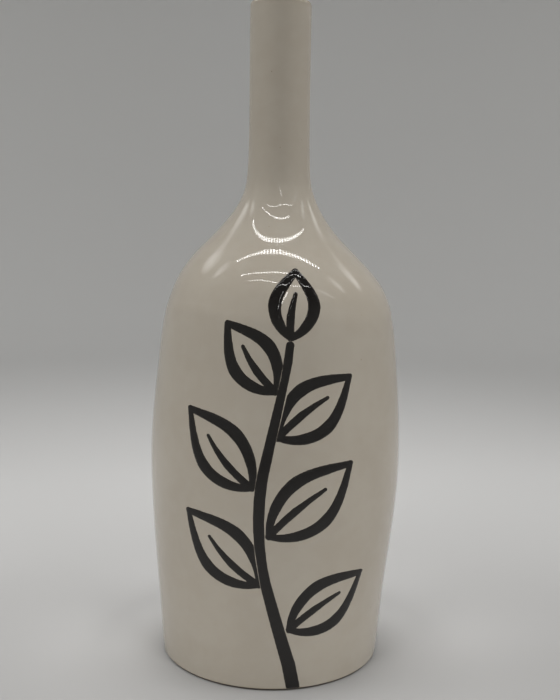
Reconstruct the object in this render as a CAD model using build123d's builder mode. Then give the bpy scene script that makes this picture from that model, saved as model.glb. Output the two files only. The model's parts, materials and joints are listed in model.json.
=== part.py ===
"""A hand-built stoneware bottle vase: four luted clay pieces, two glaze coats and brushed black line work.

The vase stands on the XY plane with its axis on +Z, and its painted front faces -Y. Sizes are in millimetres.
"""

import os
from math import cos, radians, sin

from build123d import *

# Overall form, measured on the finished glaze
BODY_HEIGHT = 162.0  # table to the seam where the shoulder starts
SHOULDER_RISE = 51.0  # shoulder seam to neck seam
NECK_LENGTH = 87.0  # neck seam to the crown of the lip
BELLY_HEIGHT = 95.0  # table to the widest ring
BASE_RADIUS = 51.3
BELLY_RADIUS = 58.6
SHOULDER_RADIUS = 52.3
NECK_FOOT_RADIUS = 16.4
NECK_RADIUS = 13.8
BORE_RADIUS = 9.2  # glazed bore of the neck
THROAT_RISE = 0.7  # neck seam to the start of the straight bore

# Clay and coats
WALL = 5.0
FLOOR = 8.0  # table to the clay floor inside
FLOOR_CORNER = 6.0
GLAZE = 0.4
FOOT_HEIGHT = 1.0  # bare clay below the glaze line
FOOT_INSET = 3.0
FOOT_RING_WIDTH = 7.0
FOOT_RECESS = 1.8

# Luted seams: a tongue on the lower piece, a rebate on the upper one, and slip between them
FLOOR_SEAM_HEIGHT = 4.0
TONGUE_HEIGHT = 3.0
SLIP = 0.6

# Brush work
BRUSH_WIDTH = 6.0
PAINT = 0.25  # how far the black stands proud of the cream glaze
PAINT_SEAT = 0.1  # clearance between the black and the cream glaze
LEAF_LENGTH = 48.0
LEAF_SWELL = 10.5  # middle of the leaf to the middle of its edge line
STROKE_SAMPLES = 16
PAINTED_ARC = -180  # the front half of the vase
OVERRUN = 10.0  # how far cutting shapes run past what they cut

# Points between the driving sizes, as shares of the rise and of the change of radius that they lie in
FLARE_SHARES = (0.47, 0.54)
UPPER_BELLY_SHARES = (0.67, 0.50)
SHOULDER_SHARES = ((0.25, 0.135), (0.56, 0.495), (0.79, 0.80))
NECK_SHARES = ((0.13, 0.75), (0.43, 1.0))

HEIGHT = BODY_HEIGHT + SHOULDER_RISE + NECK_LENGTH
NECK_SEAM_HEIGHT = BODY_HEIGHT + SHOULDER_RISE
LIP_RADIUS = (NECK_RADIUS - BORE_RADIUS) / 2
LIP_CENTRE = (NECK_RADIUS - LIP_RADIUS, HEIGHT - LIP_RADIUS)
UP = (0, 1)
SHARE_TOLERANCE = 1e-7


def between(low, high, shares):
    """The profile point at these shares of the way from low to high, height share first."""
    rise_share, radius_share = shares
    return (low[0] + radius_share * (high[0] - low[0]), low[1] + rise_share * (high[1] - low[1]))


# The finished outline, from the table to the start of the lip, as (radius, height)
BASE_POINT = (BASE_RADIUS, 0)
BELLY_POINT = (BELLY_RADIUS, BELLY_HEIGHT)
SHOULDER_POINT = (SHOULDER_RADIUS, BODY_HEIGHT)
NECK_FOOT_POINT = (NECK_FOOT_RADIUS, NECK_SEAM_HEIGHT)
LIP_START = (NECK_RADIUS, LIP_CENTRE[1])
BODY_STATIONS = [
    between(BASE_POINT, BELLY_POINT, FLARE_SHARES),
    BELLY_POINT,
    between(BELLY_POINT, SHOULDER_POINT, UPPER_BELLY_SHARES),
    SHOULDER_POINT,
    *[between(SHOULDER_POINT, NECK_FOOT_POINT, shares) for shares in SHOULDER_SHARES],
]
NECK_STATIONS = [NECK_FOOT_POINT, *[between(NECK_FOOT_POINT, LIP_START, shares) for shares in NECK_SHARES]]

BASE_DIRECTION = Vector(BODY_STATIONS[0]) - Vector(BASE_POINT)
with BuildLine() as outline:
    Spline(BASE_POINT, *BODY_STATIONS, *NECK_STATIONS, LIP_START, tangents=(BASE_DIRECTION, UP))
OUTLINE = outline.edge()


def outline_share(height):
    """The outline's parameter, from 0 to 1, at this height."""
    low, high = 0.0, 1.0
    while high - low > SHARE_TOLERANCE:
        middle = (low + high) / 2
        below = OUTLINE.position_at(middle, PositionMode.PARAMETER).Y < height
        low, high = (middle, high) if below else (low, middle)
    return low


def radius_at(height):
    """The finished radius of the vase at this height."""
    return OUTLINE.position_at(outline_share(height), PositionMode.PARAMETER).X


def tangent_at(height):
    """The direction of the outline at this height, going up."""
    return OUTLINE.tangent_at(outline_share(height), PositionMode.PARAMETER)


def inset(point, depth):
    """The place at this depth under the finished surface, square to it, below an outline point."""
    tangent = tangent_at(point[1])
    return (point[0] - depth * tangent.Y, point[1] + depth * tangent.X)


FOOT_POINT = (radius_at(FOOT_HEIGHT), FOOT_HEIGHT)


def outside_line(depth):
    """Draws the outside at this depth, from the glaze line to the start of the lip."""
    lip_start = (LIP_START[0] - depth, LIP_START[1])
    stations = [inset(point, depth) for point in (FOOT_POINT, *BODY_STATIONS, *NECK_STATIONS)]
    return Spline(*stations, lip_start, tangents=(tangent_at(FOOT_HEIGHT), UP))


def inside_line(depth, bore_radius):
    """Draws the cavity at this depth, from the axis over the floor and up to the start of the lip."""
    corner_height = FLOOR + FLOOR_CORNER
    floor_height = FLOOR + depth - GLAZE - WALL
    corner = corner_height - floor_height
    corner_radius = radius_at(corner_height) - depth
    floor_edge = (corner_radius - corner, floor_height)
    wall_start = (corner_radius, corner_height)
    bore_start = (bore_radius, NECK_SEAM_HEIGHT + THROAT_RISE)
    stations = [inset(point, depth) for point in BODY_STATIONS[:-1]]
    Line((0, floor_height), floor_edge)
    RadiusArc(floor_edge, wall_start, -corner)
    Spline(wall_start, *stations, bore_start, tangents=(UP, UP))
    Line(bore_start, (bore_radius, LIP_CENTRE[1]))


def lip_arc(radius, start_angle, sweep):
    """Draws part of the lip's rounding about its own centre."""
    return CenterArc(LIP_CENTRE, radius, start_angle, sweep)


# The whole clay form, which the seams then divide
FOOT_RADIUS = BASE_RADIUS - FOOT_INSET
FOOT_RING_RADIUS = FOOT_RADIUS - FOOT_RING_WIDTH
with BuildPart() as clay:
    with BuildSketch(Plane.XZ):
        with BuildLine():
            outside_line(GLAZE)
            lip_arc(LIP_RADIUS - GLAZE, 0, 180)
            inside_line(GLAZE + WALL, BORE_RADIUS + GLAZE)
            Polyline(
                inset(FOOT_POINT, GLAZE),
                (FOOT_RADIUS, 0),
                (FOOT_RING_RADIUS, 0),
                (FOOT_RING_RADIUS, FOOT_RECESS),
                (0, FOOT_RECESS),
                (0, FLOOR),
            )
        make_face()
    revolve(axis=Axis.Z)

# Each seam is its height, the radius of its tongue and the tongue's height
WALL_MIDDLE = GLAZE + WALL / 2
FLOOR_SEAM = (
    FLOOR_SEAM_HEIGHT,
    radius_at(FLOOR_SEAM_HEIGHT) - WALL_MIDDLE,
    FLOOR + FLOOR_CORNER - FLOOR_SEAM_HEIGHT,
)
SHOULDER_SEAM = (BODY_HEIGHT, radius_at(BODY_HEIGHT) - WALL_MIDDLE, TONGUE_HEIGHT)
NECK_SEAM = (NECK_SEAM_HEIGHT, (NECK_FOOT_RADIUS + BORE_RADIUS) / 2, TONGUE_HEIGHT)


def below_seam(seam, layer):
    """The half section of all that lies under a seam's stepped line, raised by a layer of slip."""
    height, tongue_radius, tongue_height = seam
    reach = BELLY_RADIUS + OVERRUN
    with BuildSketch(Plane.XZ) as region:
        with BuildLine():
            Polyline(
                (0, -OVERRUN),
                (reach, -OVERRUN),
                (reach, height + layer),
                (tongue_radius + layer, height + layer),
                (tongue_radius + layer, height + tongue_height + layer),
                (0, height + tongue_height + layer),
                close=True,
            )
        make_face()
    return region.sketch


# The floor: a dished slab with a turned foot ring, standing up inside the wall as a tongue
with BuildPart() as floor_slab:
    add(clay.part)
    revolve(below_seam(FLOOR_SEAM, 0), axis=Axis.Z, mode=Mode.INTERSECT)

# The belly wall, luted over the floor's tongue
with BuildPart() as belly_wall:
    add(clay.part)
    revolve(below_seam(SHOULDER_SEAM, 0), axis=Axis.Z, mode=Mode.INTERSECT)
    revolve(below_seam(FLOOR_SEAM, SLIP), axis=Axis.Z, mode=Mode.SUBTRACT)

# The shoulder, closed in over the belly
with BuildPart() as shoulder_cone:
    add(clay.part)
    revolve(below_seam(NECK_SEAM, 0), axis=Axis.Z, mode=Mode.INTERSECT)
    revolve(below_seam(SHOULDER_SEAM, SLIP), axis=Axis.Z, mode=Mode.SUBTRACT)

# The neck tube with its rounded lip
with BuildPart() as neck_tube:
    add(clay.part)
    revolve(below_seam(NECK_SEAM, SLIP), axis=Axis.Z, mode=Mode.SUBTRACT)

# The luting slip in the three seams
with BuildPart() as floor_slip_seam:
    add(clay.part)
    revolve(below_seam(FLOOR_SEAM, SLIP), axis=Axis.Z, mode=Mode.INTERSECT)
    revolve(below_seam(FLOOR_SEAM, 0), axis=Axis.Z, mode=Mode.SUBTRACT)

with BuildPart() as shoulder_slip_seam:
    add(clay.part)
    revolve(below_seam(SHOULDER_SEAM, SLIP), axis=Axis.Z, mode=Mode.INTERSECT)
    revolve(below_seam(SHOULDER_SEAM, 0), axis=Axis.Z, mode=Mode.SUBTRACT)

with BuildPart() as neck_slip_seam:
    add(clay.part)
    revolve(below_seam(NECK_SEAM, SLIP), axis=Axis.Z, mode=Mode.INTERSECT)
    revolve(below_seam(NECK_SEAM, 0), axis=Axis.Z, mode=Mode.SUBTRACT)

# The cream glaze outside, from the dry foot up to the crown of the lip
LIP_CROWN = (LIP_CENTRE[0], HEIGHT)
LIP_CLAY_CROWN = (LIP_CENTRE[0], HEIGHT - GLAZE)
with BuildPart() as outer_glaze:
    with BuildSketch(Plane.XZ):
        with BuildLine():
            outside_line(0)
            lip_arc(LIP_RADIUS, 0, 90)
            Line(LIP_CROWN, LIP_CLAY_CROWN)
            lip_arc(LIP_RADIUS - GLAZE, 0, 90)
            outside_line(GLAZE)
            Line(inset(FOOT_POINT, GLAZE), FOOT_POINT)
        make_face()
    revolve(axis=Axis.Z)

# The liner glaze that makes the inside hold water, from the crown of the lip down to the floor
with BuildPart() as liner_glaze:
    with BuildSketch(Plane.XZ):
        with BuildLine():
            inside_line(GLAZE + WALL, BORE_RADIUS + GLAZE)
            lip_arc(LIP_RADIUS - GLAZE, 90, 90)
            Line(LIP_CLAY_CROWN, LIP_CROWN)
            lip_arc(LIP_RADIUS, 90, 90)
            inside_line(GLAZE + WALL + GLAZE, BORE_RADIUS)
            Line((0, FLOOR), (0, FLOOR + GLAZE))
        make_face()
    revolve(axis=Axis.Z)

# The thin layer on the front of the cream glaze that brush strokes are cut from
with BuildPart() as paint_layer:
    with BuildSketch(Plane.XZ):
        with BuildLine():
            outside_line(-PAINT_SEAT)
            outside_line(-PAINT)
            Line(inset(FOOT_POINT, -PAINT_SEAT), inset(FOOT_POINT, -PAINT))
            Line((LIP_START[0] + PAINT_SEAT, LIP_START[1]), (LIP_START[0] + PAINT, LIP_START[1]))
        make_face()
    revolve(axis=Axis.Z, revolution_arc=PAINTED_ARC)


def seen_from_front(around, height):
    """Where a point of the painted surface shows on the front plane, from its distance around the vase."""
    radius = radius_at(height)
    return (radius * sin(around / radius), height)


def share_along(values, share):
    """The value at a share of the way along a list of evenly spaced values."""
    place = share * (len(values) - 1)
    index = min(int(place), len(values) - 2)
    return values[index] + (place - index) * (values[index + 1] - values[index])


def brush_stroke(points, width_shares, mode=Mode.ADD):
    """Draws one brush stroke, given its middle line on the unrolled surface and its width along the way."""
    with BuildLine(mode=Mode.PRIVATE) as middle:
        Spline(*points)
    middle_line = middle.edge()
    left, right = [], []
    for sample in range(STROKE_SAMPLES + 1):
        share = sample / STROKE_SAMPLES
        centre, tangent = middle_line @ share, middle_line % share
        half_width = share_along(width_shares, share) * BRUSH_WIDTH / 2
        left.append(seen_from_front(centre.X - half_width * tangent.Y, centre.Y + half_width * tangent.X))
        right.append(seen_from_front(centre.X + half_width * tangent.Y, centre.Y - half_width * tangent.X))
    ends = []
    for share, outwards in ((0, -1), (1, 1)):
        centre, tangent = middle_line @ share, middle_line % share
        reach = outwards * share_along(width_shares, share) * BRUSH_WIDTH / 2
        ends.append(seen_from_front(centre.X + reach * tangent.X, centre.Y + reach * tangent.Y))
    with BuildLine() as edge_loop:
        Spline(*left)
        ThreePointArc(left[-1], ends[1], right[-1])
        Spline(*right)
        ThreePointArc(left[0], ends[0], right[0])
    make_face(edge_loop.edges(), mode=mode)


# The sprig: a stem that runs off the foot, and outlined leaves on both sides of it.
# Stem places are shares of the belly's radius around the front, and of the body's height.
STEM_SHARES = ((0.20, -0.03), (0.10, 0.14), (-0.06, 0.34), (-0.10, 0.56), (0.02, 0.78), (0.09, 0.94))
STEM_WIDTH_SHARES = (1.05, 1.0, 0.75, 0.85, 0.7, 0.6)
STEM = [(around * BELLY_RADIUS, rise * BODY_HEIGHT) for around, rise in STEM_SHARES]
with BuildLine() as stem_middle:
    Spline(*STEM)
STEM_LINE = stem_middle.edge()

# Each leaf: its place along the stem, its length and its swell, as shares, and the way it points in degrees
LEAF_SHARES = (
    (0.20, 0.95, 0.95),
    (0.33, 1.05, 1.0),
    (0.47, 1.08, 1.05),
    (0.60, 1.0, 1.0),
    (0.74, 0.92, 0.95),
    (0.86, 0.80, 0.85),
    (1.00, 0.62, 0.80),
)
LEAF_ANGLES = (32, 140, 40, 135, 38, 128, 84)
LEAF_EDGE_SHARES = ((0.10, 0.0), (0.30, 0.75), (0.54, 1.0), (0.79, 0.62), (1.0, 0.0))
LEAF_EDGE_WIDTH_SHARES = (0.45, 0.8, 0.95, 0.75, 0.5)
RIB_SHARES = ((0.10, 0.0), (0.40, 0.14), (0.70, 0.0))
RIB_WIDTH_SHARES = (0.55, 0.6, 0.3)


def leaf_line(shares, angle, line_shares, side):
    """The middle line of one stroke of a leaf, on the unrolled surface, drawn on one side of the leaf."""
    place, length_share, swell_share = shares
    root = STEM_LINE @ place
    forward = Vector(cos(radians(angle)), sin(radians(angle)))
    aside = Vector(-forward.Y, forward.X) * side
    length = length_share * LEAF_LENGTH
    swell = swell_share * LEAF_SWELL
    return [root + forward * (along * length) + aside * (out * swell) for along, out in line_shares]


def cut_from_paint():
    """Carries the strokes just drawn to the front of the vase, as paint on its surface."""
    extrude(amount=BELLY_RADIUS + OVERRUN)
    add(paint_layer.part, mode=Mode.INTERSECT)


with BuildPart() as stem_stroke:
    with BuildSketch(Plane.XZ):
        brush_stroke(STEM, STEM_WIDTH_SHARES)
    cut_from_paint()

# Each leaf is two edge lines and a rib, and it stops where it meets the stem
leaf_strokes = []
for shares, angle in zip(LEAF_SHARES, LEAF_ANGLES):
    with BuildPart() as leaf_stroke:
        with BuildSketch(Plane.XZ):
            brush_stroke(leaf_line(shares, angle, LEAF_EDGE_SHARES, 1), LEAF_EDGE_WIDTH_SHARES)
            brush_stroke(leaf_line(shares, angle, LEAF_EDGE_SHARES, -1), LEAF_EDGE_WIDTH_SHARES)
            brush_stroke(leaf_line(shares, angle, RIB_SHARES, 1), RIB_WIDTH_SHARES)
            brush_stroke(STEM, STEM_WIDTH_SHARES, mode=Mode.SUBTRACT)
        cut_from_paint()
    leaf_strokes.append(leaf_stroke)

PIECES = {
    "floor_slab": floor_slab,
    "belly_wall": belly_wall,
    "shoulder_cone": shoulder_cone,
    "neck_tube": neck_tube,
    "floor_slip_seam": floor_slip_seam,
    "shoulder_slip_seam": shoulder_slip_seam,
    "neck_slip_seam": neck_slip_seam,
    "outer_glaze": outer_glaze,
    "liner_glaze": liner_glaze,
    "stem_stroke": stem_stroke,
    **{f"leaf_stroke_{number}": piece for number, piece in enumerate(leaf_strokes, 1)},
}
os.makedirs("parts", exist_ok=True)
for name, piece in PIECES.items():
    piece.part.label = name
    export_step(piece.part, f"parts/{name}.step")
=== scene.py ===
# %% [markdown]
# # A hand-built bottle vase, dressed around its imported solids
#
# The vase is four clay pieces luted together, an ivory glaze outside, a liner glaze inside and a leaf sprig brushed on
# in black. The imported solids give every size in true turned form. This lesson remakes each surface as a potter's hands
# and a kiln leave it, gives it its finish, and stands the vase in a small studio.

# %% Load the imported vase
import json
import math

import bmesh
import bpy
import numpy as np
from mathutils import Matrix, Vector
from mathutils.kdtree import KDTree


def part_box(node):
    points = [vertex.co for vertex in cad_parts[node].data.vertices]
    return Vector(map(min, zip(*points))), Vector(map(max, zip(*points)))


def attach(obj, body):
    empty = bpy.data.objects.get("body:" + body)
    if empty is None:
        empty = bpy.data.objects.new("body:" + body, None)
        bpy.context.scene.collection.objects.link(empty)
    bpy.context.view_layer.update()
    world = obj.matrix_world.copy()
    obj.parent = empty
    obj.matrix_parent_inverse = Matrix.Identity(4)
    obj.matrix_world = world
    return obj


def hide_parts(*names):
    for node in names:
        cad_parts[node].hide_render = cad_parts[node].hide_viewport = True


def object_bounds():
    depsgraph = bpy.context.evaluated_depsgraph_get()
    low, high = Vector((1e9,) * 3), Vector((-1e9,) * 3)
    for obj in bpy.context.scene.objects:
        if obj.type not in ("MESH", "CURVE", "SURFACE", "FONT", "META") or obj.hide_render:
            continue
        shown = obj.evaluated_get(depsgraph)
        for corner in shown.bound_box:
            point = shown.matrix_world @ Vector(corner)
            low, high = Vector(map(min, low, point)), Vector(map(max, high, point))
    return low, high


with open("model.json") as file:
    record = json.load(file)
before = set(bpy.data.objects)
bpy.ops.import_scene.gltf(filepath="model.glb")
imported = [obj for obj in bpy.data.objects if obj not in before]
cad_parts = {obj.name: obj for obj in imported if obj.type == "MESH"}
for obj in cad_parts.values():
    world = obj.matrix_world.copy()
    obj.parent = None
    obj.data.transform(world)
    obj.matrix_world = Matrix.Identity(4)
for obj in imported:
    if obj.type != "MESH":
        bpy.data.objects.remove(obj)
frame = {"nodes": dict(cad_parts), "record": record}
cad_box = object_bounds()
nodes = frame["nodes"]
scene = bpy.context.scene
MM = 0.001
print("Packed box in mm:", [[round(value / MM, 2) for value in corner] for corner in cad_box])

# %% [markdown]
# ## The camera
#
# The camera stands a little under half a metre in front of the vase, at the height of its neck, and looks down by
# almost eight degrees. A camera can be aimed by eye or by a tracking constraint. Here its place and tilt are written
# down, because they were fitted to the outline of the vase, and a written matrix never drifts.

# %% Camera
FOCAL_PIXELS = 950
PICTURE_HEIGHT_PIXELS = 700
CAMERA_PLACE = (1.3 * MM, -441.1 * MM, 202.9 * MM)
CAMERA_DIP_DEGREES = 7.73
CAMERA_ROLL_DEGREES = 1.1
NEAREST_SEEN = 20 * MM

camera_lens = bpy.data.cameras.new("studio_camera")
camera_lens.lens = camera_lens.sensor_width * FOCAL_PIXELS / PICTURE_HEIGHT_PIXELS
camera_lens.clip_start = NEAREST_SEEN
camera = bpy.data.objects.new("studio_camera", camera_lens)
camera.matrix_world = (
    Matrix.Translation(CAMERA_PLACE)
    @ Matrix.Rotation(math.radians(90 - CAMERA_DIP_DEGREES), 4, "X")
    @ Matrix.Rotation(math.radians(CAMERA_ROLL_DEGREES), 4, "Z")
)
scene.collection.objects.link(camera)
scene.camera = camera
print(f"Lens {camera_lens.lens:.2f} mm")

# %% [markdown]
# ## The outline of the vase
#
# Every surface of a turned vase follows one outline. It could be typed in again, but then it would soon differ from
# the solids, so it is read from the glaze's own mesh: the height and radius of each vertex on a face that looks
# outwards. A curve through evenly spaced heights then gives a radius and a slope anywhere.

# %% Read the outline
STEP_HEIGHT = 2.2 * MM
SIDEWAYS = 0.2
STRAIGHT_BELOW_LIP = 10 * MM


def turned_line(name, outwards):
    """Heights and radii of the side of a turned node that looks outwards or inwards, lowest first."""
    mesh = nodes[name].data
    radii = {}
    for face in mesh.polygons:
        across = Vector((face.center.x, face.center.y, 0)).normalized().dot(face.normal)
        if (across if outwards else -across) > SIDEWAYS:
            for index in face.vertices:
                place = mesh.vertices[index].co
                radii[round(place.z, 7)] = math.hypot(place.x, place.y)
    heights = np.array(sorted(radii))
    return heights, np.array([radii[height] for height in heights])


bore = next(mount for mount in frame["record"]["mounts"] if mount["name"] == "neck_bore")
BORE_RADIUS = bore["dims"]["r_mm"] * MM
GLAZE_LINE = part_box("outer_glaze")[0].z
CROWN = cad_box[1].z
outer_heights, outer_radii = turned_line("outer_glaze", True)
NECK_RADIUS = float(np.interp(CROWN - STRAIGHT_BELOW_LIP, outer_heights, outer_radii))
LIP_RADIUS = (NECK_RADIUS - BORE_RADIUS) / 2
LIP_MIDDLE = (BORE_RADIUS + LIP_RADIUS, CROWN - LIP_RADIUS)

rungs = np.linspace(GLAZE_LINE, LIP_MIDDLE[1], round((LIP_MIDDLE[1] - GLAZE_LINE) / STEP_HEIGHT))
rung_radii = np.interp(rungs, outer_heights, outer_radii)
rung_slopes = np.gradient(rung_radii, rungs)


def radius_at(height):
    """The outer radius of the glaze at a height, on a smooth curve through the rungs."""
    index = np.clip(np.searchsorted(rungs, height) - 1, 0, len(rungs) - 2)
    span = rungs[1] - rungs[0]
    t = (height - rungs[index]) / span
    start, end = rung_radii[index], rung_radii[index + 1]
    leave, arrive = rung_slopes[index] * span, rung_slopes[index + 1] * span
    swing = t * (1 - t)
    return start + (end - start) * t * t * (3 - 2 * t) + swing * ((1 - t) * leave - t * arrive)


def slope_at(height):
    """How fast the outer radius grows with height."""
    return np.interp(height, rungs, rung_slopes)


print(f"{len(rungs)} rungs, belly radius {rung_radii.max() / MM:.2f} mm, neck radius {NECK_RADIUS / MM:.2f} mm")

# %% [markdown]
# ## What the hands did to the form
#
# A hand-built bottle isn't a perfect turned form. The axis wanders sideways by a millimetre or two, the section is a
# little oval, the wall ripples, the shoulder seam stays as a soft uneven ridge, and the neck swells where it was
# joined on. A lattice or a sculpted displacement could do this. One function that moves points does it the same way
# for every piece, so that glaze, clay and brush work stay on each other.

# %% Shape by hand
# Sizes in this cell are in millimetres.
LEAN_AT_FOOT = -1.0
LEANS = ((25, 90, 1.0), (90, 150, 0.25), (168, 191, -2.1), (193, 216, 1.1), (216, 300, -0.4))  # from, to, sideways
OVAL_SHARE = 0.0025
BODY_RADII = (15, 35)
BODY_HEIGHTS = (5, 30)
RIPPLES = ((3, 0.047, 0.6, 0.06), (5, -0.031, 2.1, 0.04), (2, 0.083, 4.0, 0.05))  # around, turn per mm, start, depth
SEAM_HEIGHT = 163.0
SEAM_WAVES = ((2, 0.4, 1.3), (5, 1.3, 0.8))  # around, start, height
SEAM_RIDGE = 0.3
SEAM_SPREAD = 1.7
RIDGE_WAVE = (3, 2, 0.3)  # around, start, share of the ridge that comes and goes
COLLAR = ((189, 0.08), (194, -0.17), (199, -0.21), (204, 0.13), (209, 0.45), (214, 0.42))  # height, swell at the neck
COLLAR_SPREAD = 4.2
ON_AXIS = 1e-6
NECK_SAMPLE = 250


def ramp(values, low, high):
    """Rises smoothly from 0 at low to 1 at high."""
    share = np.clip((values - low) / (high - low), 0, 1)
    return share * share * (3 - 2 * share)


def hand_shaped(points):
    """Moves points of the true turned form, in metres, to where the potter left them."""
    x, y, z = (np.asarray(points, float) / MM).T
    angle = np.arctan2(y, x)
    radius = np.maximum(np.hypot(x, y), ON_AXIS)
    body = ramp(radius, *BODY_RADII) * ramp(z, *BODY_HEIGHTS)
    seam = SEAM_HEIGHT + sum(height * np.sin(around * angle + start) for around, start, height in SEAM_WAVES)
    ridge_around, ridge_start, uneven = RIDGE_WAVE
    ridge_share = 1 - uneven + uneven * np.sin(ridge_around * angle + ridge_start)
    ridge = SEAM_RIDGE * ridge_share * np.exp(-(((z - seam) / SEAM_SPREAD) ** 2))
    ripple = sum(depth * (np.sin(around * angle + turn * z + start) - 1) for around, turn, start, depth in RIPPLES)
    collar = sum(swell * np.exp(-(((z - height) / COLLAR_SPREAD) ** 2)) for height, swell in COLLAR)
    oval = OVAL_SHARE * (np.cos(2 * angle) - 1) * radius
    share = 1 + (body * (ridge + ripple) + collar + oval) / radius
    lean = LEAN_AT_FOOT + sum(move * ramp(z, low, high) for low, high, move in LEANS)
    return np.stack([x * share + lean, y * share, z], axis=1) * MM


print("Lean of the neck in mm:", round(hand_shaped([(0, 0, NECK_SAMPLE * MM)])[0][0] / MM, 2))

# %% [markdown]
# ## Turning the two glaze coats
#
# A glaze coat is a thin turned skin. It could be a modified cylinder, or a Screw modifier on a curve. Spinning a row
# of edges with bmesh is closest to the potter's wheel, leaves a clean grid of four-sided faces, and gives a mesh that
# the hand-shaping can move. The skin gets its thickness behind the glazed side, so that this side stays on the outline.

# %% Helpers for turned pieces
SPIN_STEPS = 160
WELD = 0.001 * MM
SMOOTH_BELOW = math.radians(32)
LIP_POINTS = 16


def finished_piece(name, bm, slot, *replaced):
    """Makes an object of a bmesh: shaped by hand, smoothly shaded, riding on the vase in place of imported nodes."""
    for vert, place in zip(bm.verts, hand_shaped([vert.co for vert in bm.verts])):
        vert.co = place
    mesh = bpy.data.meshes.new(name)
    bm.to_mesh(mesh)
    bm.free()
    mesh.shade_smooth()
    mesh.set_sharp_from_angle(angle=SMOOTH_BELOW)
    piece = bpy.data.objects.new(name, mesh)
    scene.collection.objects.link(piece)
    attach(piece, "root")
    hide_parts(*replaced)
    print(f"{name}: {len(mesh.polygons)} faces")
    return piece


def turned_skin(line, thickness, outwards):
    """Spins a line of (radius, height) points into a skin that faces out or in, with a wall behind that face."""
    bm = bmesh.new()
    verts = [bm.verts.new((radius, 0, height)) for radius, height in line]
    edges = [bm.edges.new(pair) for pair in zip(verts, verts[1:])]
    bmesh.ops.spin(bm, geom=verts + edges, axis=(0, 0, 1), angle=math.tau, steps=SPIN_STEPS, use_merge=True)
    bmesh.ops.remove_doubles(bm, verts=bm.verts, dist=WELD)
    bmesh.ops.recalc_face_normals(bm, faces=bm.faces)
    facing = sum(face.normal.dot(face.calc_center_median() * Vector((1, 1, 0))) for face in bm.faces)
    if (facing > 0) != outwards:
        bmesh.ops.reverse_faces(bm, faces=bm.faces)
    bmesh.ops.solidify(bm, geom=bm.faces[:], thickness=thickness)
    return bm


def lip_line(start_degrees, end_degrees):
    """Points of the lip's rounding between two angles about its own middle, without the first."""
    turns = np.radians(np.linspace(start_degrees, end_degrees, LIP_POINTS)[1:])
    return [(LIP_MIDDLE[0] + LIP_RADIUS * math.cos(t), LIP_MIDDLE[1] + LIP_RADIUS * math.sin(t)) for t in turns]


# %% Outer coat
GLAZE = 0.4 * MM
outer_line = [*zip(rung_radii, rungs), *lip_line(0, 90)]
ivory_coat = finished_piece("ivory_coat", turned_skin(outer_line, GLAZE, True), "ivory_glaze", "outer_glaze")

# %% [markdown]
# The liner is the same kind of skin, but it faces the inside of the vase. Its line starts on the axis, runs over the
# floor and up the wall, through the bore and over the inner half of the lip.

# %% Liner coat
inner_heights, inner_radii = turned_line("liner_glaze", False)
LINER_FLOOR = 14 * MM
corner = [(radius, height) for height, radius in zip(inner_heights, inner_radii) if height < LINER_FLOOR]
wall_rungs = np.arange(LINER_FLOOR, LIP_MIDDLE[1], STEP_HEIGHT)
liner_wall = [*zip(np.interp(wall_rungs, inner_heights, inner_radii), wall_rungs), (BORE_RADIUS, LIP_MIDDLE[1])]
floor_height = float(inner_heights[0])
print(f"Liner floor at {floor_height / MM:.2f} mm, {len(corner)} points in the corner")
liner_line = [(0, floor_height), *corner, *liner_wall, *lip_line(180, 90)]
ivory_liner = finished_piece("ivory_liner", turned_skin(liner_line, GLAZE, False), "liner_glaze", "liner_glaze")

# %% [markdown]
# ## Clay and slip
#
# Under the coats are the four clay pieces and the slip that lutes them. Only the dry foot shows, but every piece is
# there, as in the real vase. Their shapes are right in the solids, so each is a merged copy of its node that gets the
# same hand-shaping. The foot's edges are rounded a little by a Bevel modifier, as a sponge leaves them.

# %% Clay and slip pieces
CLAY = {
    "clay_floor": "floor_slab",
    "clay_belly": "belly_wall",
    "clay_shoulder": "shoulder_cone",
    "clay_neck": "neck_tube",
}
SLIP = {
    "slip_at_floor": "floor_slip_seam",
    "slip_at_shoulder": "shoulder_slip_seam",
    "slip_at_neck": "neck_slip_seam",
}
SPONGED_WIDTH = 0.5 * MM
SPONGED_STEPS = 3
SPONGED_ABOVE = math.radians(40)


def shaped_copy(name, node, slot):
    """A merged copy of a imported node, shaped by hand."""
    bm = bmesh.new()
    bm.from_mesh(nodes[node].data)
    bmesh.ops.remove_doubles(bm, verts=bm.verts, dist=WELD)
    return finished_piece(name, bm, slot, node)


clay_pieces = [shaped_copy(name, node, "stoneware") for name, node in CLAY.items()]
slip_pieces = [shaped_copy(name, node, "luting_slip") for name, node in SLIP.items()]

sponged = clay_pieces[0].modifiers.new("sponged_edges", "BEVEL")
sponged.width = SPONGED_WIDTH
sponged.segments = SPONGED_STEPS
sponged.limit_method = "ANGLE"
sponged.angle_limit = SPONGED_ABOVE

# %% [markdown]
# ## The brushed sprig
#
# Black colour from a loaded brush lies on the glaze as a low cushion: it thins out at its edges and has no sharp rim.
# The solids are even slabs with square edges. Each stroke is taken from its slab's top face, laid flat, cut into a
# fine grid and laid back on the vase, lifted by how far each point is from the stroke's edge. A remesh would blur the
# outline; cutting with bisect_plane keeps it exactly.

# %% Flat strokes
PAINT_TOP = 0.2 * MM
GRID = 0.7 * MM
FLAT_BELOW = math.radians(3)


def height_off_glaze(place):
    """How far a place stands off the turned outline, square to it."""
    return (math.hypot(place.x, place.y) - radius_at(place.z)) / math.hypot(1, slope_at(place.z))


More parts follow.
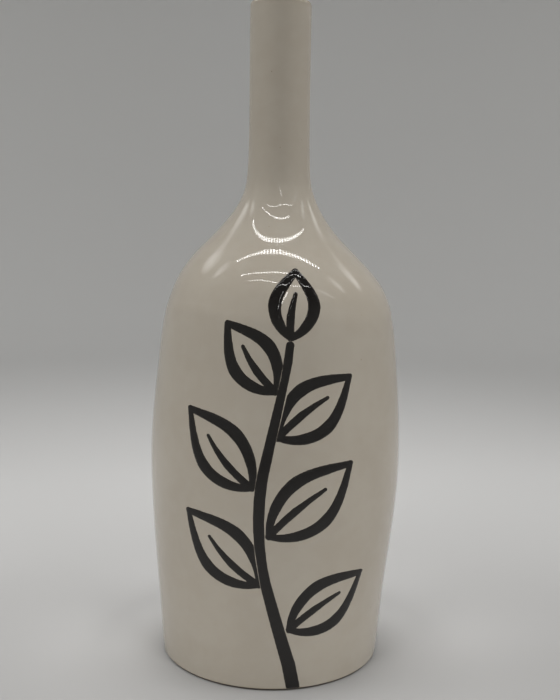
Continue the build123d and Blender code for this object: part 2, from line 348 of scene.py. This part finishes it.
def flat_stroke(node):
    """The painted outline of a stroke, flat on the XZ plane and cut into a fine grid."""
    bm = bmesh.new()
    bm.from_mesh(nodes[node].data)
    bmesh.ops.remove_doubles(bm, verts=bm.verts, dist=WELD)
    proud = {vert: height_off_glaze(vert.co) > PAINT_TOP for vert in bm.verts}
    unpainted = [face for face in bm.faces if not all(proud[vert] for vert in face.verts)]
    bmesh.ops.delete(bm, geom=unpainted, context="FACES")
    bmesh.ops.scale(bm, vec=(1, 0, 1), verts=bm.verts)
    bmesh.ops.dissolve_limit(bm, angle_limit=FLAT_BELOW, verts=bm.verts, edges=bm.edges)
    for axis, direction in ((0, (1, 0, 0)), (2, (0, 0, 1))):
        places = [vert.co[axis] for vert in bm.verts]
        for cut in np.arange(min(places) + GRID / 2, max(places), GRID):
            geometry = bm.verts[:] + bm.edges[:] + bm.faces[:]
            bmesh.ops.bisect_plane(bm, geom=geometry, dist=WELD, plane_co=Vector(direction) * cut, plane_no=direction)
    bmesh.ops.triangulate(bm, faces=[face for face in bm.faces if len(face.verts) > 4])
    return bm


# %% [markdown]
# A brush leaves more colour in the middle of a stroke than at its edge. How far a point is from the edge could be
# measured against every edge in turn. A tree of points along the edges finds the nearest one at once.

# %% Distance to the edge
EDGE_SAMPLE = 0.15 * MM


def edge_distances(bm):
    """How far each vertex of a flat stroke is from the stroke's edge."""
    points = []
    for edge in bm.edges:
        if edge.is_boundary:
            start, end = (vert.co for vert in edge.verts)
            count = max(1, math.ceil(edge.calc_length() / EDGE_SAMPLE))
            points.extend(start.lerp(end, step / count) for step in range(count + 1))
    tree = KDTree(len(points))
    for index, point in enumerate(points):
        tree.insert(point, index)
    tree.balance()
    return np.array([tree.find(vert.co)[2] for vert in bm.verts])


# %% [markdown]
# Now each flat stroke goes back on the vase. A quarter circle of lift near the edge gives the cushion, and the edge
# itself sinks a little into the glaze, so that no gap shows. The distance stays on the vertices for the finish.

# %% Brush strokes
STROKES = ["stem_stroke", *(f"leaf_stroke_{number}" for number in range(1, 8))]
PAINT_HEIGHT = 0.14 * MM
PAINT_SINK = 0.03 * MM
PAINT_EDGE = 0.8 * MM
PAINT_BACK = 0.12 * MM


def brushed_piece(name, node):
    """One brush stroke: a low cushion of colour on the glaze."""
    bm = flat_stroke(node)
    depths = edge_distances(bm)
    ink_depth = bm.verts.layers.float.new("ink_depth")
    swell = np.sqrt(1 - (1 - np.minimum(depths / PAINT_EDGE, 1)) ** 2)
    for vert, depth, share in zip(bm.verts, depths, swell):
        height = float(vert.co.z)
        lift = -PAINT_SINK + (PAINT_HEIGHT + PAINT_SINK) * share
        slope = float(slope_at(height))
        tilt = 1 / math.hypot(1, slope)
        radius = float(radius_at(height))
        across = min(max(vert.co.x / radius, -1), 1)
        reach = radius + lift * tilt
        vert.co = (reach * across, -reach * math.sqrt(1 - across * across), height - lift * slope * tilt)
        vert[ink_depth] = depth / MM
    bm.normal_update()
    bmesh.ops.solidify(bm, geom=bm.faces[:], thickness=PAINT_BACK)
    return finished_piece(name, bm, "black_brushwork", node)


brush_pieces = [brushed_piece(node.replace("_stroke", "_brushed"), node) for node in STROKES]

# %% [markdown]
# ## A small kit for finishes
#
# A finish is a tree of shader nodes. Writing each node and link out by hand hides the idea, so one class wraps a
# socket and lets maths on it be written as maths, and another adds any node from its type, settings and sockets.

# %% Finish kit
class Reading:
    """A socket of a finish. Sums with it add Math nodes."""

    def __init__(self, finish, socket):
        self.finish = finish
        self.socket = socket

    def maths(self, operation, first, second):
        return self.finish.node("Math", {"operation": operation}, {0: first, 1: second})

    def __add__(self, other):
        return self.maths("ADD", self, other)

    def __sub__(self, other):
        return self.maths("SUBTRACT", self, other)

    def __mul__(self, other):
        return self.maths("MULTIPLY", self, other)

    def __rsub__(self, other):
        return self.maths("SUBTRACT", other, self)

    __radd__ = __add__
    __rmul__ = __mul__


class Finish:
    """A procedural material, put together node by node."""

    def __init__(self, name):
        self.material = bpy.data.materials.new(name)
        self.material.use_nodes = True
        self.tree = self.material.node_tree
        self.tree.nodes.clear()

    def node(self, kind, settings=None, sockets=None, output=0):
        """Adds a node, sets it up, fills its sockets with values or links, and gives one of its outputs."""
        made = self.tree.nodes.new("ShaderNode" + kind)
        for name, value in (settings or {}).items():
            setattr(made, name, value)
        for name, value in (sockets or {}).items():
            if isinstance(value, Reading):
                self.tree.links.new(value.socket, made.inputs[name])
            else:
                made.inputs[name].default_value = value
        return Reading(self, made.outputs[output]) if made.outputs else None

    def place(self):
        """The place on the piece, in metres."""
        return self.node("TexCoord", output="Object")

    def noise(self, where, size, detail=2):
        """Soft noise whose patches are about this size in metres, from 0 to 1."""
        return self.node("TexNoise", {}, {"Vector": where, "Scale": 1 / size, "Detail": detail}, "Fac")

    def rise(self, value, low, high):
        """0 below low, 1 above high and smooth between."""
        sockets = {"Value": value, "From Min": low, "From Max": high}
        return self.node("MapRange", {"interpolation_type": "SMOOTHSTEP"}, sockets, "Result")

    def mixed(self, factor, first, second):
        """A colour between two colours."""
        return self.node("Mix", {"data_type": "RGBA"}, {0: factor, 6: first, 7: second}, 2)

    def surface(self, **sockets):
        """Ends the tree in one Principled surface."""
        named = {name.replace("_", " "): value for name, value in sockets.items()}
        shader = self.node("BsdfPrincipled", {}, named, "BSDF")
        self.node("OutputMaterial", {}, {"Surface": shader})
        return self.material


def colour(red, green, blue):
    """A colour for a socket, from linear parts."""
    return (red, green, blue, 1)


def give(material, *pieces):
    """Puts a finish on pieces."""
    for piece in pieces:
        piece.data.materials.clear()
        piece.data.materials.append(material)
    print(f"{material.name} on {', '.join(piece.name for piece in pieces)}")


# %% [markdown]
# ## Ivory glaze
#
# The coat is a glossy stoneware glaze: warm grey ivory, a little uneven where it lies thick or thin, with a few iron
# specks and an almost flat orange-peel surface. A flat colour would look like plastic. Two sizes of noise give the
# clouds, a Voronoi cell test gives the specks, and a slow and a fine bump break up the reflections.

# %% Ivory glaze finish
IVORY = colour(0.362, 0.324, 0.268)
IVORY_THICK = colour(0.382, 0.346, 0.29)
IVORY_THIN = colour(0.33, 0.28, 0.215)
IRON = colour(0.17, 0.115, 0.07)
LARGE_CLOUD = 36 * MM
SMALL_CLOUD = 7 * MM
LARGE_SHARE = 0.65
CLOUD_EDGE = (0.35, 0.68)
THIN_AT_FOOT = 1 * MM
THIN_AT_LIP = 4 * MM
THIN_PATCH = 5 * MM
THIN_EDGE = (0.3, 0.7)
SPECK_SPACING = 4.5 * MM
SPECK_EDGE = (0.03, 0.075)
SPECK_CHANCE = (0.90, 0.94)
SPECK_STRENGTH = 0.6
LEAST_ROUGHNESS = 0.015
CLOUD_ROUGHNESS = 0.03
SLOW_SWELL = 26 * MM
FINE_SWELL = 1.6 * MM
FINE_SHARE = 0.015
SWELL_DEPTH = 0.1 * MM
GLAZE_IOR = 1.5


def ivory_finish(name, thin, plain, thick):
    """A cloudy glaze that breaks to its thin colour at the foot and the lip."""
    finish = Finish(name)
    where = finish.place()
    clouds = finish.noise(where, LARGE_CLOUD) * LARGE_SHARE + finish.noise(where, SMALL_CLOUD) * (1 - LARGE_SHARE)
    body = finish.mixed(finish.rise(clouds, *CLOUD_EDGE), plain, thick)
    height = finish.node("SeparateXYZ", {}, {0: where}, "Z")
    over_foot = finish.rise(height, GLAZE_LINE, GLAZE_LINE + THIN_AT_FOOT)
    edge = 1 - over_foot + finish.rise(height, CROWN - THIN_AT_LIP, CROWN)
    broken = finish.mixed(edge * finish.rise(finish.noise(where, THIN_PATCH), *THIN_EDGE), body, thin)
    cells = {"Vector": where, "Scale": 1 / SPECK_SPACING}
    near = 1 - finish.rise(finish.node("TexVoronoi", {}, cells, "Distance"), *SPECK_EDGE)
    chance = finish.node("SeparateColor", {}, {0: finish.node("TexVoronoi", {}, cells, "Color")}, "Red")
    specks = near * finish.rise(chance, *SPECK_CHANCE) * SPECK_STRENGTH
    gloss = LEAST_ROUGHNESS + CLOUD_ROUGHNESS * clouds
    swell = finish.noise(where, SLOW_SWELL, 1) + FINE_SHARE * finish.noise(where, FINE_SWELL, 1)
    bump = finish.node("Bump", {}, {"Strength": 1.0, "Distance": SWELL_DEPTH, "Height": swell}, "Normal")
    specked = finish.mixed(specks, broken, IRON)
    return finish.surface(Base_Color=specked, Roughness=gloss, IOR=GLAZE_IOR, Normal=bump)


give(ivory_finish("ivory_glaze_finish", IVORY_THIN, IVORY, IVORY_THICK), ivory_coat)
LINER = colour(0.35, 0.315, 0.262)
LINER_THICK = colour(0.37, 0.337, 0.284)
give(ivory_finish("liner_glaze_finish", IVORY_THIN, LINER, LINER_THICK), ivory_liner)

# %% [markdown]
# ## Black brush work
#
# The black is a glossy iron colour under the same kind of shine. It is dense in the middle of a stroke and turns a
# little brown where it thins out at the edge. The distance to the edge was stored on each vertex while the strokes
# were made, so the finish reads that attribute.

# %% Brush work finish
BLACK = colour(0.006, 0.005, 0.0043)
BLACK_POOLED = colour(0.009, 0.0077, 0.0067)
BLACK_THIN = colour(0.018, 0.014, 0.011)
INK_EDGE_MM = (0.05, 0.9)
INK_LEAST_THIN = 0.4
INK_GRAIN = 3 * MM
INK_POOL = 14 * MM
INK_POOL_SHARE = 0.5
INK_SMEAR = 5 * MM
INK_ROUGHNESS = (0.02, 0.05)
INK_RELIEF = 0.02 * MM

ink = Finish("black_brush_finish")
ink_place = ink.place()
depth = ink.node("Attribute", {"attribute_name": "ink_depth"}, {}, "Fac")
grain = ink.noise(ink_place, INK_GRAIN)
thin = (1 - ink.rise(depth, *INK_EDGE_MM)) * (INK_LEAST_THIN + (1 - INK_LEAST_THIN) * grain)
pooled = ink.noise(ink_place, INK_POOL) * INK_POOL_SHARE
ink_colour = ink.mixed(thin, ink.mixed(pooled, BLACK, BLACK_POOLED), BLACK_THIN)
ink_bump = ink.node("Bump", {}, {"Distance": INK_RELIEF, "Height": grain}, "Normal")
ink_gloss = INK_ROUGHNESS[0] + INK_ROUGHNESS[1] * ink.noise(ink_place, INK_SMEAR)
give(ink.surface(Base_Color=ink_colour, Roughness=ink_gloss, IOR=GLAZE_IOR, Normal=ink_bump), *brush_pieces)

# %% [markdown]
# ## Bare clay and slip
#
# The dry foot is buff stoneware, matte, with dark grains of grog. Next to the glaze line, where the glaze's edge
# overhangs the foot, painted shade makes the clay dark brown. The slip in the seams is the same clay, sieved, so it is
# greyer and finer. A picture of clay would need a map around every piece. Cells and noise in space need none, and run
# through pieces that meet.

# %% Clay and slip finishes
# Painted shade on the foot's outer wall, under the glaze's overhanging edge.
FOOT_PAINTED_SHADE = colour(0.13, 0.098, 0.07)
PAINTED_SHADE_WIDTH = 1.5 * MM
RESTS_BELOW = 0.1 * MM
CLAY_PATCH = 12 * MM
GRAIN_EDGE = (0.2, 0.45)
GRAIN_CHANCE = (0.6, 0.8)
GRAIN_STRENGTH = 0.7
GRAIN_STAND = 0.5
CLAY_ROUGHNESS = 0.85
resting = [vert.co for vert in nodes["floor_slab"].data.vertices if vert.co.z < RESTS_BELOW]
FOOT_RADIUS = max(math.hypot(place.x, place.y) for place in resting)
print(f"Foot ring {2 * FOOT_RADIUS / MM:.1f} mm across")


def clay_finish(name, plain, pale, dark, grain, rough_depth):
    """Matte clay with dark grains of one size, with painted shade outside the foot ring."""
    finish = Finish(name)
    where = finish.place()
    tone = finish.mixed(finish.noise(where, CLAY_PATCH), plain, pale)
    cells = {"Vector": where, "Scale": 1 / grain}
    chance = finish.node("SeparateColor", {}, {0: finish.node("TexVoronoi", {}, cells, "Color")}, "Red")
    near = 1 - finish.rise(finish.node("TexVoronoi", {}, cells, "Distance"), *GRAIN_EDGE)
    grains = near * finish.rise(chance, *GRAIN_CHANCE)
    height = finish.noise(where, grain, 3) + GRAIN_STAND * grains
    bump = finish.node("Bump", {}, {"Distance": rough_depth, "Height": height}, "Normal")
    flat = finish.node("VectorMath", {"operation": "MULTIPLY"}, {0: where, 1: (1, 1, 0)})
    radius = finish.node("VectorMath", {"operation": "LENGTH"}, {0: flat}, "Value")
    # Painted shade: the clay turns dark at the foot ring's outer edge, under the glaze's overhang.
    painted_shade = finish.rise(radius, FOOT_RADIUS - PAINTED_SHADE_WIDTH, FOOT_RADIUS)
    clay_with_painted_shade = finish.mixed(painted_shade, finish.mixed(grains * GRAIN_STRENGTH, tone, dark), FOOT_PAINTED_SHADE)
    return finish.surface(Base_Color=clay_with_painted_shade, Roughness=CLAY_ROUGHNESS, Normal=bump)


stoneware = clay_finish(
    "bare_stoneware_finish",
    plain=colour(0.40, 0.33, 0.25),
    pale=colour(0.45, 0.38, 0.29),
    dark=colour(0.22, 0.16, 0.11),
    grain=0.8 * MM,
    rough_depth=0.12 * MM,
)
give(stoneware, *clay_pieces)
slip = clay_finish(
    "luting_slip_finish",
    plain=colour(0.36, 0.31, 0.25),
    pale=colour(0.40, 0.34, 0.28),
    dark=colour(0.30, 0.25, 0.20),
    grain=0.4 * MM,
    rough_depth=0.05 * MM,
)
give(slip, *slip_pieces)

# %% [markdown]
# ## The studio
#
# The vase stands on a seamless pale sweep that rises all round, so that the camera sees the same paper from any side.
# A plane and a wall would meet in a line behind the vase. One spun line with a wide cove has no such line.

# %% Sweep
FLOOR_RADII = (0, 0.1, 0.25, 0.5, 0.8, 0.95)
COVE = 0.45
COVE_POINTS = 10
WALL_TOP = 1.5
SWEEP_STEPS = 96
floor_edge = FLOOR_RADII[-1]
cove_turns = np.radians(np.linspace(0, 90, COVE_POINTS)[1:])
sweep_line = [(radius, 0) for radius in FLOOR_RADII]
sweep_line += [(floor_edge + COVE * math.sin(turn), COVE * (1 - math.cos(turn))) for turn in cove_turns]
sweep_line += [(floor_edge + COVE, WALL_TOP)]

sweep_bm = bmesh.new()
sweep_verts = [sweep_bm.verts.new((radius, 0, height)) for radius, height in sweep_line]
sweep_edges = [sweep_bm.edges.new(pair) for pair in zip(sweep_verts, sweep_verts[1:])]
sweep_geometry = sweep_verts + sweep_edges
bmesh.ops.spin(sweep_bm, geom=sweep_geometry, axis=(0, 0, 1), angle=math.tau, steps=SWEEP_STEPS, use_merge=True)
bmesh.ops.remove_doubles(sweep_bm, verts=sweep_bm.verts, dist=WELD)
bmesh.ops.recalc_face_normals(sweep_bm, faces=sweep_bm.faces)
sweep_mesh = bpy.data.meshes.new("paper_sweep")
sweep_bm.to_mesh(sweep_mesh)
sweep_bm.free()
sweep_mesh.shade_smooth()
sweep = bpy.data.objects.new("paper_sweep", sweep_mesh)
scene.collection.objects.link(sweep)
print(f"Sweep {2 * (floor_edge + COVE):.2f} m across, {len(sweep_mesh.polygons)} faces")

# %% [markdown]
# Light in a real room comes from everywhere. It fills the shade beside the vase and fades towards the front, which a
# few lamps can't do alone. So light and shade are painted into the paper's tone: painted shade makes it deeper in
# front, painted light makes it paler behind the vase and close beside it, and a painted shadow makes it dark in the
# narrow gap that the edge of the base overhangs. The wall is paler too. All of it is read from the place on the paper,
# so it lies still when the camera moves.

# %% Paper finish
PAPER_ROUGHNESS = 0.9
BRIGHTER_TOWARDS = (-0.15, 1, 0)
VASE_FOOT = (LEAN_AT_FOOT * MM, 0, 0)
# Reaches of the painted tones: painted shade in front, painted light behind the vase, near it and close beside it.
FRONT_TO_BACK = (-0.13, 0.33)
NEAR_REACH = (0.06, 0.18)
NEAR_DEPTH = (-0.06, 0.01)
NEAR_SHARE = 0.5
CLOSE_REACH = (0.055, 0.085)
CLOSE_DEPTH = (-0.03, 0.035)
CLOSE_SHARE = 0.77
WALL_REACH = (0.45, 1.2)
# Painted shadow: where the paper turns dark under the base's overhang, and how dark it turns.
PAINTED_SHADOW_EDGE = (0.0502, 0.0511)
PAPER_PAINTED_SHADOW = colour(0.13, 0.115, 0.10)
# Paper tones: painted shade in front, painted light near, close beside and behind the vase, then the wall's tone.
PAPER_PAINTED_SHADE_FRONT = colour(0.39, 0.385, 0.378)
PAPER_PAINTED_FILL_NEAR = colour(0.57, 0.565, 0.557)
PAPER_PAINTED_FILL_CLOSE = colour(0.70, 0.695, 0.685)
PAPER_PAINTED_LIGHT_BACK = colour(0.67, 0.665, 0.655)
PAPER_WALL = colour(0.725, 0.723, 0.711)

paper = Finish("paper_finish")
paper_place = paper.place()
reach = paper.node("VectorMath", {"operation": "DISTANCE"}, {0: paper_place, 1: VASE_FOOT}, "Value")
depth_back = paper.node("VectorMath", {"operation": "DOT_PRODUCT"}, {0: paper_place, 1: BRIGHTER_TOWARDS}, "Value")
# Painted shade deepens the paper in front, and painted light makes it paler behind.
floor_tone = paper.mixed(paper.rise(depth_back, *FRONT_TO_BACK), PAPER_PAINTED_SHADE_FRONT, PAPER_PAINTED_LIGHT_BACK)
# Painted light near the vase and close beside it, where its shade falls.
painted_fill_near_vase = (1 - paper.rise(reach, *NEAR_REACH)) * paper.rise(depth_back, *NEAR_DEPTH)
near_tone = paper.mixed(painted_fill_near_vase * NEAR_SHARE, floor_tone, PAPER_PAINTED_FILL_NEAR)
painted_fill_close_by = (1 - paper.rise(reach, *CLOSE_REACH)) * paper.rise(depth_back, *CLOSE_DEPTH)
close_tone = paper.mixed(painted_fill_close_by * CLOSE_SHARE, near_tone, PAPER_PAINTED_FILL_CLOSE)
far_tone = paper.mixed(paper.rise(reach, *WALL_REACH), close_tone, PAPER_WALL)
# Painted shadow on the paper under the overhang of the base.
painted_shadow_under_vase = 1 - paper.rise(reach, *PAINTED_SHADOW_EDGE)
paper_tone = paper.mixed(painted_shadow_under_vase, far_tone, PAPER_PAINTED_SHADOW)
give(paper.surface(Base_Color=paper_tone, Roughness=PAPER_ROUGHNESS), sweep)

# %% [markdown]
# The light is soft and comes from above and from both sides, with a weak fill in front. Two small lamps lift the foot
# alone. Area lamps give this without hard shadows, and a grid on all but the top one keeps its light off the paper
# around it. They are hidden from the camera and from reflections, and the shine on the glaze comes from rows of small
# lamps overhead, which a glossy vase shows as broken bright lines.

# %% Lamps
BELLY_MIDDLE = Vector((0, 0, 0.13))
FOOT_MIDDLE = Vector((0, 0, 0))


def softbox(name, place, aim, size, watts, spread_degrees=180):
    """A square area lamp, which lights the vase without showing up as a reflection. A grid narrows its spread."""
    lamp = bpy.data.lights.new(name, "AREA")
    lamp.shape = "SQUARE"
    lamp.size = size
    lamp.energy = watts
    lamp.spread = math.radians(spread_degrees)
    box = bpy.data.objects.new(name, lamp)
    box.location = place
    box.rotation_euler = (aim - Vector(place)).to_track_quat("-Z", "Y").to_euler()
    box.visible_camera = False
    box.visible_glossy = False
    scene.collection.objects.link(box)
    print(f"{name}: {watts} W over {spread_degrees} degrees")


softbox("top_softbox", (0, 0, 1.2), BELLY_MIDDLE, size=0.5, watts=8.4)
softbox("left_softbox", (-0.85, -0.1, 0.35), BELLY_MIDDLE, size=0.4, watts=0.69, spread_degrees=100)
softbox("right_softbox", (0.85, -0.05, 0.35), BELLY_MIDDLE, size=0.4, watts=0.76, spread_degrees=100)
softbox("left_fill", (-0.45, -0.60, 0.35), BELLY_MIDDLE, size=0.3, watts=0.20, spread_degrees=80)
softbox("right_fill", (0.45, -0.60, 0.35), BELLY_MIDDLE, size=0.3, watts=0.21, spread_degrees=80)
softbox("left_foot_lamp", (-0.20, -0.28, 0.13), FOOT_MIDDLE, size=0.15, watts=0.017, spread_degrees=50)
softbox("right_foot_lamp", (0.20, -0.28, 0.13), FOOT_MIDDLE, size=0.15, watts=0.018, spread_degrees=50)

# %% [markdown]
# The room itself adds a weak even light from all sides. A world with one colour does this, and keeps the inside of the
# mouth from going black.

# %% Room light
ROOM_COLOUR = colour(1.0, 0.995, 0.985)
ROOM_STRENGTH = 0.12

world = bpy.data.worlds.new("studio_room")
world.use_nodes = True
background = world.node_tree.nodes["Background"]
background.inputs["Color"].default_value = ROOM_COLOUR
background.inputs["Strength"].default_value = ROOM_STRENGTH
scene.world = world
print(f"Room light {ROOM_STRENGTH}")

# %% [markdown]
# Each row of small lamps is a strip of little glowing plates, hung at one height. A curve with a bevelled profile
# would give a solid bar, and the shine would look like tape. Separate plates give the broken, sparkling lines that such
# rows leave on glaze. The row right over the vase shows the widest line, and the two before it are slimmer.

# %% Lamp rows
ROW_HEIGHT = 0.60
ROW_GLOW = 30.0
LAMP_COLOUR = colour(1, 0.99, 0.97)
HALF_UNIT = 0.5
LAMP_SPACING = 18 * MM
LAMP_LENGTH = 7 * MM
WIDE_LAMPS = 12 * MM
SLIM_LAMPS = 9 * MM
MIDDLE_LINE = [
    (-0.25, -0.02), (-0.16, -0.03), (-0.075, -0.045), (0, -0.053), (0.075, -0.046), (0.16, -0.025), (0.26, 0.01)
]
SECOND_LINE = [(-0.25, -0.15), (-0.105, -0.163), (0, -0.156), (0.11, -0.148), (0.16, -0.14)]
THIRD_LINE = [(-0.21, -0.225), (-0.13, -0.225), (-0.06, -0.243), (0.07, -0.274), (0.14, -0.263), (0.26, -0.208)]
FRONT_LINE = [(0.085, -0.38), (0.025, -0.72)]
LAMP_ROWS = {
    "lamp_row_middle": (MIDDLE_LINE, WIDE_LAMPS),
    "lamp_row_second": (SECOND_LINE, SLIM_LAMPS),
    "lamp_row_third": (THIRD_LINE, SLIM_LAMPS),
    "lamp_row_front": (FRONT_LINE, WIDE_LAMPS),
}


def ceiling_piece(name, bm, material):
    """Hangs a glowing mesh over the vase, seen only in reflections."""
    mesh = bpy.data.meshes.new(name)
    bm.to_mesh(mesh)
    bm.free()
    piece = bpy.data.objects.new(name, mesh)
    scene.collection.objects.link(piece)
    give(material, piece)
    piece.visible_camera = piece.visible_diffuse = piece.visible_shadow = False


def along_line(start, end, length, width):
    """Where a flat plate of this length and width lies, midway between two places."""
    start, end = Vector((*start, ROW_HEIGHT)), Vector((*end, ROW_HEIGHT))
    turn = Matrix.Rotation(math.atan2(end.y - start.y, end.x - start.x), 4, "Z")
    return Matrix.Translation((start + end) / 2) @ turn @ Matrix.Diagonal((length, width, 1, 1))


def lamp_row(name, corners, width, material):
    """A row of glowing plates along a line of corners."""
    bm = bmesh.new()
    for start, end in zip(corners, corners[1:]):
        start, end = Vector(start), Vector(end)
        count = max(1, round((end - start).length / LAMP_SPACING))
        places = [start.lerp(end, step / count) for step in range(count + 1)]
        for pair in zip(places, places[1:]):
            plate = along_line(*pair, LAMP_LENGTH, width)
            bmesh.ops.create_grid(bm, x_segments=1, y_segments=1, size=HALF_UNIT, matrix=plate)
    ceiling_piece(name, bm, material)


row_glow = Finish("lamp_row_glow")
row_shader = row_glow.node("Emission", {}, {"Color": LAMP_COLOUR, "Strength": ROW_GLOW})
row_glow.node("OutputMaterial", {}, {"Surface": row_shader})
for row_name, (corners, width) in LAMP_ROWS.items():
    lamp_row(row_name, corners, width, row_glow.material)

# %% [markdown]
# Panels of light hang further out to both sides. They leave the soft streaks down the shoulder. Each is a plate whose
# middle glows and whose edges don't. The glow is stored on the vertices, so the fade needs no picture.

# %% Soft panels
PANEL_GLOW = 2.4
PANEL_CUTS = 8
DARK = colour(0, 0, 0)
PANELS = {  # start, end, width
    "panel_left_back": ((-0.30, 0.16), (-0.62, 0.29), 0.24),
    "panel_left": ((-0.28, 0.005), (-0.54, 0.015), 0.09),
    "panel_right_back": ((0.33, 0.24), (0.74, 0.285), 0.17),
    "panel_right": ((0.30, -0.005), (0.60, -0.035), 0.09),
    "panel_right_front": ((0.27, -0.222), (0.60, -0.24), 0.05),
}
panel_finish = Finish("panel_glow")
fade = panel_finish.node("Attribute", {"attribute_name": "glow"}, {}, "Fac")
panel_colour = panel_finish.mixed(fade, DARK, LAMP_COLOUR)
panel_shader = panel_finish.node("Emission", {}, {"Color": panel_colour, "Strength": PANEL_GLOW})
panel_finish.node("OutputMaterial", {}, {"Surface": panel_shader})
for panel_name, (start, end, width) in PANELS.items():
    panel_bm = bmesh.new()
    glow = panel_bm.verts.layers.float.new("glow")
    bmesh.ops.create_grid(panel_bm, x_segments=PANEL_CUTS, y_segments=PANEL_CUTS, size=HALF_UNIT)
    for vert in panel_bm.verts:
        vert[glow] = math.cos(math.pi * vert.co.x) * math.cos(math.pi * vert.co.y)
    plate = along_line(start, end, math.dist(start, end), width)
    bmesh.ops.transform(panel_bm, matrix=plate, verts=panel_bm.verts)
    ceiling_piece(panel_name, panel_bm, panel_finish.material)

# %% [markdown]
# ## The colour view
#
# Colours go to the picture through the Standard view, so that they look about as they were written.

# %% Colour view
scene.view_settings.view_transform = "Standard"
